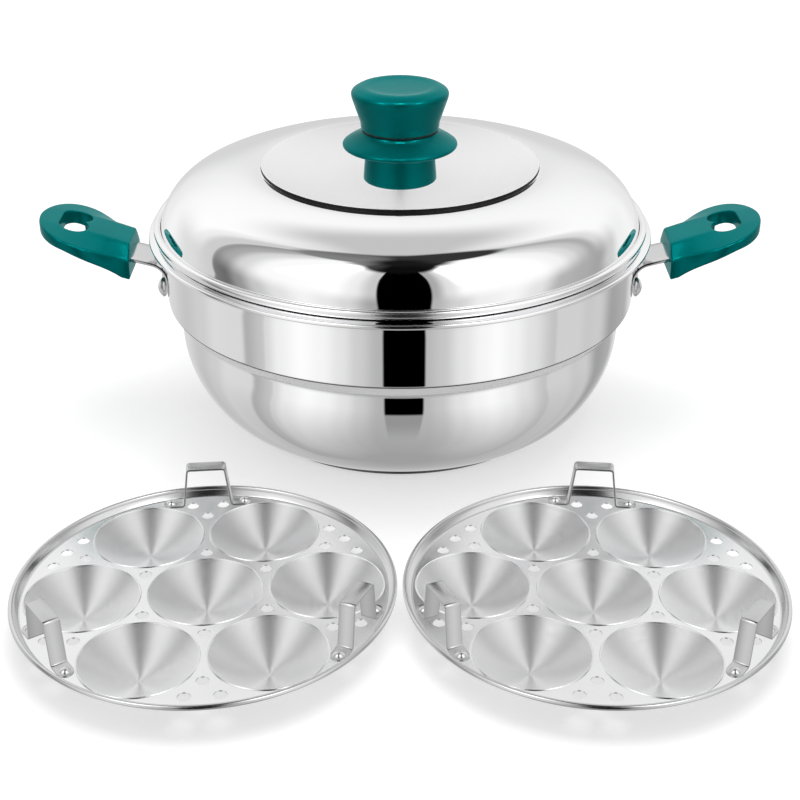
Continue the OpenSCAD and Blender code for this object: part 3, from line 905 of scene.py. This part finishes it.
BEAMS = (
    (-180, .20), (-150, .44), (-120, .50), (-75, .48), (-40, .25), (-14, .05), (20, .05), (60, .10),
    (100, .20), (140, .20), (180, .20))
SOFT_BOX_CORES = (
    (-180, 0), (-74, 0), (-62, 1), (-46, 1), (-36, 0), (28, 0), (38, 1), (54, 1), (64, 0), (180, 0))
GAP_CENTRE = 2.0
SOFT_BOX_GAIN = 1.12
CORE_GAIN = 1.5


def display(grey):
    """Linear value of a grey as it shows on screen"""
    return ((grey + 0.055) / 1.055) ** 2.4 if grey > 0.04 else grey / 12.92


def shown(grey):
    """The colour that shows as this grey"""
    return [display(grey)] * 3 + [1.0]


def ring_of_walls(tree, azimuth, stops):
    """Brightness all round, from (azimuth, shown grey) stops"""
    ramp = add_node(tree, "ValToRGB")
    ramp.color_ramp.interpolation = "EASE"
    elements = ramp.color_ramp.elements
    while len(elements) > 1:
        elements.remove(elements[-1])
    for i, (angle, grey) in enumerate(stops):
        spot = (angle + 180) / 360
        element = elements[0] if i == 0 else elements.new(spot)
        element.position = spot
        element.color = shown(grey)
    tree.links.new(linear_step(tree, azimuth, -180.0, 180.0), ramp.inputs[0])
    return ramp.outputs[0]


def ray_direction(tree):
    """Azimuth and height of a ray that leaves the object"""
    split = add_node(tree, "SeparateXYZ")
    tree.links.new(add_node(tree, "TexCoord").outputs["Generated"], split.inputs[0])
    ahead = math_node(tree, "MULTIPLY", split.outputs["Y"], -1.0)
    turn = math_node(tree, "ARCTAN2", split.outputs["X"], ahead)
    rise = math_node(tree, "ARCSINE", split.outputs["Z"])
    return [math_node(tree, "MULTIPLY", angle, 180 / pi) for angle in (turn, rise)]


def seen_directly(tree):
    """1 for what the camera sees, also past a surface that lets rays through"""
    rays = add_node(tree, "LightPath")
    return math_node(tree, "MAXIMUM", rays.outputs["Is Camera Ray"], rays.outputs["Is Transmission Ray"])


def lit_walls(tree, azimuth, height):
    """The soft boxes, the walls round them and the table, as the steel reflects them"""
    # the soft boxes stand close, so their edges lean back above and below the horizon
    lean = math_node(tree, "ADD", linear_step(tree, height, 0.0, 100.0, 0.0, 0.45),
                     linear_step(tree, height, -26.0, -66.0, 0.0, 0.40))
    turned = math_node(tree, "MULTIPLY", azimuth, math_node(tree, "SUBTRACT", 1.0, lean))
    high, low, table = (ring_of_walls(tree, turned, stops) for stops in (HIGH_WALLS, LOW_WALLS, TABLE))
    far_table = linear_step(tree, height, -26.0, -82.0)
    down = mix_colours(tree, far_table, table, shown(0.62))
    sides = mix_colours(tree, soft_step(tree, height, 9.0, 31.0), low, high)
    walls = mix_colours(tree, soft_step(tree, height, -25.0, -8.0), down, sides)
    # the wall behind is less lit above the soft boxes
    away = math_node(tree, "ABSOLUTE", azimuth)
    upper_rear = math_node(tree, "MULTIPLY", soft_step(tree, height, 36.0, 54.0),
                           soft_step(tree, away, 138.0, 165.0))
    walls = mix_colours(tree, upper_rear, walls, shown(0.76))
    # the table behind is alike on both sides of the seam at 180 degrees
    lower_rear = math_node(tree, "MULTIPLY", soft_step(tree, height, -4.0, -30.0),
                           soft_step(tree, away, 140.0, 177.0))
    return mix_colours(tree, lower_rear, walls, mix_colours(tree, far_table, shown(0.82), shown(0.62)))


def black_gap(tree, walls, off, height):
    """The gap between the two front soft boxes, black down to the table's edge"""
    wide = math_node(tree, "ADD", linear_step(tree, height, 5.0, 55.0, 11.6, 15.0),
                     soft_step(tree, height, -24.0, 4.0, -1.7, 0.0))
    inside = soft_step(tree, math_node(tree, "SUBTRACT", off, wide), -0.5, 0.9, 1.0, 0.0)
    gap = math_node(tree, "MULTIPLY", inside, soft_step(tree, height, -66.0, -40.0))
    return mix_colours(tree, gap, walls, soft_step(tree, height, -31.2, -34.0, 0.0, display(0.575)))


def ceiling_edge(tree, off, height):
    """1 on the unlit ceiling, whose edge lies at another height in front, beside and behind"""
    behind = math_node(tree, "SUBTRACT", soft_step(tree, off, 92.0, 130.0, 0.0, 15.0),
                       soft_step(tree, off, 132.0, 176.0, 0.0, 11.0))
    drop = math_node(tree, "ADD", soft_step(tree, off, 12.0, 62.0, 5.0, -3.0), behind)
    return soft_step(tree, math_node(tree, "ADD", height, drop), 71.0, 76.5)


def background(tree, colour, strength):
    light = add_node(tree, "Background")
    plug(tree, light.inputs["Color"], colour)
    plug(tree, light.inputs["Strength"], strength)
    return light.outputs[0]


def either(tree, factor, first, second):
    mix = add_node(tree, "MixShader")
    for socket, value in zip(mix.inputs, (factor, first, second)):
        tree.links.new(value, socket)
    return mix.outputs[0]


def studio_world(scene):
    """Soft light from above, a plain white view, and walls that only the steel reflects"""
    scene.world = bpy.data.worlds.new("studio")
    scene.world.use_nodes = True
    tree = scene.world.node_tree
    tree.nodes.clear()
    azimuth, height = ray_direction(tree)
    off = math_node(tree, "ABSOLUTE", math_node(tree, "SUBTRACT", azimuth, GAP_CENTRE))
    walls = black_gap(tree, lit_walls(tree, azimuth, height), off, height)
    ceiling = ceiling_edge(tree, off, height)
    beams = ring_of_walls(tree, azimuth, BEAMS)
    roof = mix_colours(tree, soft_step(tree, height, 79.0, 87.0), beams, (0.009, 0.009, 0.009, 1))
    room = mix_colours(tree, ceiling, walls, roof)
    core = math_node(tree, "MULTIPLY", ring_of_walls(tree, azimuth, SOFT_BOX_CORES),
                     soft_step(tree, height, 36.0, 48.0))
    core = math_node(tree, "MULTIPLY", core, math_node(tree, "SUBTRACT", 1.0, ceiling))
    reflected = background(tree, room, math_node(tree, "MULTIPLY_ADD", core, CORE_GAIN, SOFT_BOX_GAIN))
    soft = background(tree, (1, 1, 1, 1), soft_step(tree, height, 8.0, 72.0, 0.05, 1.02))
    glossy = add_node(tree, "LightPath").outputs["Is Glossy Ray"]
    unseen = either(tree, glossy, soft, reflected)
    surface = either(tree, seen_directly(tree), unseen, background(tree, (1, 1, 1, 1), 1.0))
    tree.links.new(surface, add_node(tree, "OutputWorld").inputs["Surface"])


def studio_floor(scene):
    """A plain pale floor that takes soft shadows and fades to the white of the background"""
    bm = bmesh.new()
    bmesh.ops.create_grid(bm, x_segments=2, y_segments=2, size=6.0)
    mesh = bpy.data.meshes.new("studio_floor")
    bm.to_mesh(mesh)
    bm.free()
    floor = bpy.data.objects.new("studio_floor", mesh)
    scene.collection.objects.link(floor)
    floor.visible_glossy = False
    mat, tree, shader = new_material("studio_floor", metallic=0.0)
    shader.inputs["Base Color"].default_value = (0.60, 0.60, 0.60, 1)
    shader.inputs["Roughness"].default_value = 1.0
    shader.inputs["Specular IOR Level"].default_value = 0.0
    away = length_of(tree, object_place(tree))
    glow = add_node(tree, "Emission")
    plug(tree, glow.inputs["Strength"],
         math_node(tree, "MULTIPLY", seen_directly(tree), soft_step(tree, away, 0.5, 1.2, 0.52, 1.0)))
    both = add_node(tree, "AddShader")
    tree.links.new(shader.outputs[0], both.inputs[0])
    tree.links.new(glow.outputs[0], both.inputs[1])
    tree.links.new(both.outputs[0], tree.nodes["Material Output"].inputs["Surface"])
    mesh.materials.append(mat)


def studio_lamps(scene):
    """One soft box over everything and three that only the moulded parts take their highlights from"""
    target = Vector((0, -0.08, 0.05))
    moulded = bpy.data.collections.new("moulded_parts")
    for name in ("knob_cap", "knob_guard", "left_grip", "right_grip"):
        moulded.objects.link(bpy.data.objects[name])
    for name, spot, power, width, only_moulded in (
        ("top_soft_box", (0.1, 0.18, 1.42), 13.0, 1.2, False),
        ("left_soft_box", (-1.25, -1.05, 1.38), 9.0, 0.5, True),
        ("right_soft_box", (1.25, -1.05, 1.38), 8.0, 0.5, True),
        ("rim_soft_box", (0.0, -0.9, 1.75), 14.0, 0.5, True),
    ):
        lamp = bpy.data.lights.new(name, "AREA")
        lamp.shape = "SQUARE"
        lamp.size = width
        lamp.energy = power
        light = bpy.data.objects.new(name, lamp)
        scene.collection.objects.link(light)
        light.location = spot
        light.rotation_euler = (target - Vector(spot)).to_track_quat("-Z", "Y").to_euler()
        light.visible_glossy = only_moulded
        if only_moulded:
            light.visible_diffuse = False
            light.light_linking.receiver_collection = moulded


def studio_camera(scene):
    """The pinhole camera that was fitted to the rim, the lid and the plates"""
    pitch = 27.6
    lens = bpy.data.cameras.new("camera")
    lens.lens = 67.5
    lens.sensor_width = 36.0
    camera = bpy.data.objects.new("camera", lens)
    camera.location = (0, -0.79474, 0.41474)
    camera.rotation_euler = (radians(90 - pitch), 0, 0)
    scene.collection.objects.link(camera)
    scene.camera = camera


# Operators

class STEAMER_OT_pot(Operator):
    """Spin the stepped pot with its rolled rim, and the base disc under it"""
    bl_idname = "steamer.pot"
    bl_label = "Pot"

    def execute(self, context):
        size, finish = settings(context)
        bm = bmesh.new()
        build_pot(bm, size)
        finish_piece("pot_shell", bm, [
            mirror_steel(finish, "pot_mirror_steel"),
            mirror_steel(finish, "pot_bead_steel", rough=7.0),
            satin_steel(finish, "pot_step_satin", rough=2.0, tint=1.11),
            # painted shade: dark grey in the crease at the top of the step
            plain_metal("pot_crease_painted_shade", (0.2, 0.2, 0.2), 0.4),
        ], "pot", ["pot_body"], sharp=50)
        bm = bmesh.new()
        build_base_disc(bm)
        finish_piece("base_disc", bm, [plain_metal("base_steel", finish.base, 0.3)], "pot",
                     ["base_cap"])
        dress_node("base_core", plain_metal("core_metal", (0.7, 0.7, 0.71), 0.4))
        return {"FINISHED"}


class STEAMER_OT_lid(Operator):
    """Spin the domed lid with its raised satin disc, curled edge and locating skirt"""
    bl_idname = "steamer.lid"
    bl_label = "Lid"

    def execute(self, context):
        size, finish = settings(context)
        bm = bmesh.new()
        build_lid(bm, size)
        finish_piece("lid_shell", bm, [
            mirror_steel(finish, "lid_mirror_steel"),
            satin_steel(finish, "lid_satin_steel", rough=1.2, tint=1.1),
            # painted shadow: a near-black line on the step's wall round the disc
            plain_metal("lid_step_painted_shadow", (0.03, 0.03, 0.031), 0.5),
            mirror_steel(finish, "lid_curl_steel", rough=11.0),
        ], "lid", ["lid_dome"], sharp=50)
        return {"FINISHED"}


class STEAMER_OT_knob(Operator):
    """Spin the knob's finger guard and head, and finish the screw and washer under the lid"""
    bl_idname = "steamer.knob"
    bl_label = "Knob"

    def execute(self, context):
        size, finish = settings(context)
        # the second look is a near-black teal, painted shade for the seam and under the guard
        looks = [moulded_teal(finish, "moulded_teal"),
                 plain_metal("knob_seam_painted_shade", [c * 0.12 for c in finish.teal], 0.6)]
        bm = bmesh.new()
        build_knob_guard(bm)
        guard = finish_piece("knob_guard", bm, looks, "lid", ["knob_collar"], sharp=48)
        bm = bmesh.new()
        build_knob_cap(bm, size)
        cap = finish_piece("knob_cap", bm, looks, "lid", ["knob_head"], sharp=48)
        guard.visible_glossy = cap.visible_glossy = False
        plated = plated_steel("plated_steel")
        dress_node("knob_washer", plated)
        dress_node("knob_screw", plated)
        return {"FINISHED"}


class STEAMER_OT_side_grips(Operator):
    """Shape the two moulded grips, their bent straps, rivets and screws"""
    bl_idname = "steamer.side_grips"
    bl_label = "Side grips"

    def execute(self, context):
        size, finish = settings(context)
        teal = moulded_teal(finish, "grip_teal")
        strap_steel = mirror_steel(finish, "strap_steel", rough=8.0, tint=0.72)
        rivet_steel = plain_metal("rivet_steel", (0.72, 0.72, 0.73), 0.2)
        plated = plated_steel("grip_screw_steel")
        band_r = size.rim_d / 2 - BAND_INSET
        for side in ("left", "right"):
            bm = bmesh.new()
            build_grip(bm)
            mirrored(bm, side)
            finish_piece(f"{side}_grip", bm, [teal], "pot", [f"{side}_handle_grip"],
                         sharp=60)
            bm = bmesh.new()
            build_strap(bm, band_r)
            mirrored(bm, side)
            finish_piece(f"{side}_strap", bm, [strap_steel], "pot", [f"{side}_handle_bracket"],
                         sharp=35)
            bm = bmesh.new()
            build_strap_rivets(bm, band_r)
            mirrored(bm, side)
            finish_piece(f"{side}_strap_rivets", bm, [rivet_steel], "pot", [f"{side}_handle_rivets"])
            dress_node(f"{side}_handle_screw", plated)
        return {"FINISHED"}


class STEAMER_OT_idli_plates(Operator):
    """Press the two idli plates and rivet three strap brackets on each"""
    bl_idname = "steamer.idli_plates"
    bl_label = "Idli plates"

    def execute(self, context):
        size, finish = settings(context)
        rivet_steel = plain_metal("plate_rivet_steel", (0.74, 0.74, 0.75), 0.22)
        for side in ("left", "right"):
            body = f"plate_{side}"
            place = plate_place(side)
            centre = [c * MM for c in place.translation]
            flat = satin_steel(finish, f"{side}_plate_satin", centre, rough=0.62, tint=0.97)
            edge = satin_steel(finish, f"{side}_rim_satin", centre, rough=0.5, tint=0.78)
            spun = satin_steel(finish, f"{side}_cup_spun", centre, rough=1.62, tint=1.04, spun=0.85)
            bm = bmesh.new()
            build_sheet(bm, size)
            bmesh.ops.transform(bm, matrix=place, verts=bm.verts)
            sheet = finish_piece(f"{side}_plate_sheet", bm, [flat, spun, edge], body,
                                 [f"{side}_idli_plate"], sharp=35, recalculate=False)
            wall = sheet.modifiers.new("sheet", "SOLIDIFY")
            wall.thickness = PLATE_WALL * MM
            wall.offset = -1.0
            parts = [sheet]
            bm = bmesh.new()
            spin(bm, arc(PLATE_R - 1.2, FIELD_Z + 3.2, 1.2, 0, 345, 23), 240, closed=True)
            bmesh.ops.transform(bm, matrix=place, verts=bm.verts)
            parts.append(finish_piece(f"{side}_plate_rim", bm, [edge], body, (), sharp=60))
            for name, angle in BRACKETS:
                bm = bmesh.new()
                build_bracket(bm)
                here = (place @ Matrix.Rotation(radians(angle), 4, "Z")
                        @ Matrix.Translation((BRACKET_R, 0, 0)))
                bmesh.ops.transform(bm, matrix=here, verts=bm.verts)
                strap = satin_steel(finish, f"{side}_{name}_bracket_steel",
                                    [c * MM for c in here.translation], rough=0.62, tint=0.66)
                parts.append(finish_piece(f"{side}_{name}_bracket", bm, [strap], body,
                                          [f"{side}_plate_{name}_bracket"], sharp=35))
            bm = bmesh.new()
            build_bracket_rivets(bm)
            bmesh.ops.transform(bm, matrix=place, verts=bm.verts)
            parts.append(finish_piece(f"{side}_bracket_rivets", bm, [rivet_steel], body,
                                      [f"{side}_plate_rivets"]))
            for part in parts:
                part.visible_glossy = False
        return {"FINISHED"}


class STEAMER_OT_stage(Operator):
    """Set the pale floor, the soft studio light and the camera"""
    bl_idname = "steamer.stage"
    bl_label = "Stage"

    def execute(self, context):
        studio_floor(context.scene)
        studio_world(context.scene)
        studio_lamps(context.scene)
        studio_camera(context.scene)
        context.scene.view_settings.view_transform = "Standard"
        return {"FINISHED"}


class STEAMER_PT_panel(Panel):
    """Sizes, finishes and pieces of the steamer"""
    bl_idname = "STEAMER_PT_panel"
    bl_label = "Idli Steamer"
    bl_space_type = "VIEW_3D"
    bl_region_type = "UI"
    bl_category = "Steamer"

    def draw(self, context):
        column = self.layout.column()
        for group in (context.scene.steamer_sizes, context.scene.steamer_finish):
            for name in group.__annotations__:
                column.prop(group, name)
        for piece in PIECES:
            column.operator(piece.bl_idname)


PIECES = (STEAMER_OT_pot, STEAMER_OT_lid, STEAMER_OT_knob, STEAMER_OT_side_grips, STEAMER_OT_idli_plates,
          STEAMER_OT_stage)
CLASSES = (SteamerSizes, SteamerFinish) + PIECES + (STEAMER_PT_panel,)


def register():
    for cls in CLASSES:
        bpy.utils.register_class(cls)
    bpy.types.Scene.steamer_sizes = PointerProperty(type=SteamerSizes)
    bpy.types.Scene.steamer_finish = PointerProperty(type=SteamerFinish)


def unregister():
    del bpy.types.Scene.steamer_finish
    del bpy.types.Scene.steamer_sizes
    for cls in reversed(CLASSES):
        bpy.utils.unregister_class(cls)


def main():
    register()
    bpy.ops.steamer.pot()
    bpy.ops.steamer.lid()
    bpy.ops.steamer.knob()
    bpy.ops.steamer.side_grips()
    bpy.ops.steamer.idli_plates()
    bpy.ops.steamer.stage()


if __name__ == "__main__":
    main()
